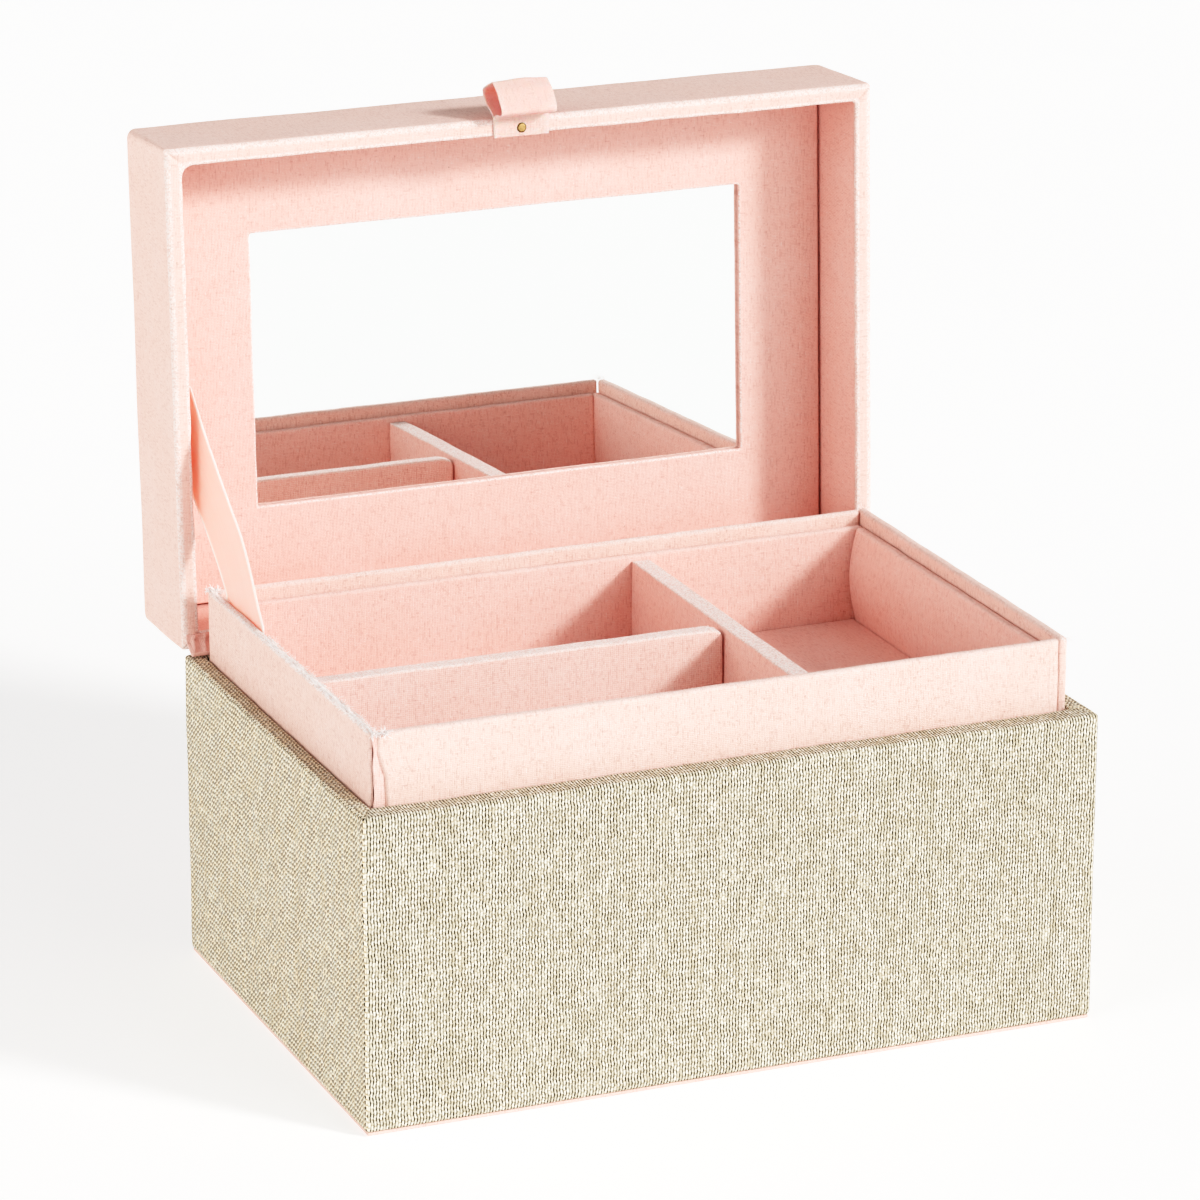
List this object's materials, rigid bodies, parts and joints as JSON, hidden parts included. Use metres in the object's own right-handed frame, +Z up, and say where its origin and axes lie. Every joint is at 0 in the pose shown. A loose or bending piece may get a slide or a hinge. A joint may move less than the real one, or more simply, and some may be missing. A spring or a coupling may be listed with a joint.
{
  "type": "jewellery box",
  "caption": "Cloth-covered hinged jewellery box: canvas base, pink neck, divided lift-out tray, and a pink lid with a framed mirror, ribbon stay and looped pull tab.",
  "frame": {"origin": "centre of the underside of the base", "axes": "+Z up, +X along the front to the right of someone facing the box, +Y from the front to the hinge at the back; the lid is stored open, as in the picture"},
  "size_m": [0.2404, 0.2105, 0.2736],
  "materials": {
    "canvas": "matte",
    "pink_cotton": "matte",
    "pink_panel": "matte",
    "ribbon": "satin",
    "board": "matte",
    "card": "matte",
    "wadding": "matte",
    "mirror": "polished",
    "brass": "polished"
  },
  "bodies": {
    "base": {"bottom_sheet": "pink_cotton", "base_floor_board": "board", "base_front_board": "board", "base_back_board": "board", "base_left_board": "board", "base_right_board": "board", "base_cover_cloth": "canvas", "neck_front_panel": "pink_panel", "neck_back_panel": "pink_panel", "neck_left_panel": "pink_panel", "neck_right_panel": "pink_panel", "tray_ledge_front": "pink_panel", "tray_ledge_back": "pink_panel", "tray_ledge_left": "pink_panel", "tray_ledge_right": "pink_panel", "floor_pad": "pink_panel", "hinge_cloth_outer": "pink_cotton", "hinge_cloth_inner": "pink_cotton", "ribbon_stay": "ribbon"},
    "tray": {"tray_floor": "pink_panel", "tray_front_wall": "pink_panel", "tray_back_wall": "pink_panel", "tray_left_wall": "pink_panel", "tray_right_wall": "pink_panel", "cross_divider": "pink_panel", "long_divider": "pink_panel"},
    "lid": {"lid_cover_cloth": "pink_cotton", "lid_wadding": "wadding", "lid_top_board": "board", "lid_front_board": "board", "lid_back_board": "board", "lid_left_board": "board", "lid_right_board": "board", "lid_lining_front": "pink_panel", "lid_lining_back": "pink_panel", "lid_lining_left": "pink_panel", "lid_lining_right": "pink_panel", "mirror_frame_panel": "pink_panel", "mirror_glass": "mirror", "mirror_spacer_frame": "card", "mirror_backing_card": "card", "pull_tab": "pink_cotton", "tab_nail": "brass"}
  },
  "joints": [
    {"name": "lid_hinge", "type": "hinge", "parent": "base", "child": "lid", "pos_m": [0, 0.081, 0.10075], "axis": [-1, 0, 0], "range_deg": [-92.2, 0], "deforming": ["ribbon_stay", "hinge_cloth_outer", "hinge_cloth_inner"]},
    {"name": "tray_lift", "type": "slide", "parent": "base", "child": "tray", "axis": [0, 0, 1], "range_m": [0, 0.08]}
  ]
}
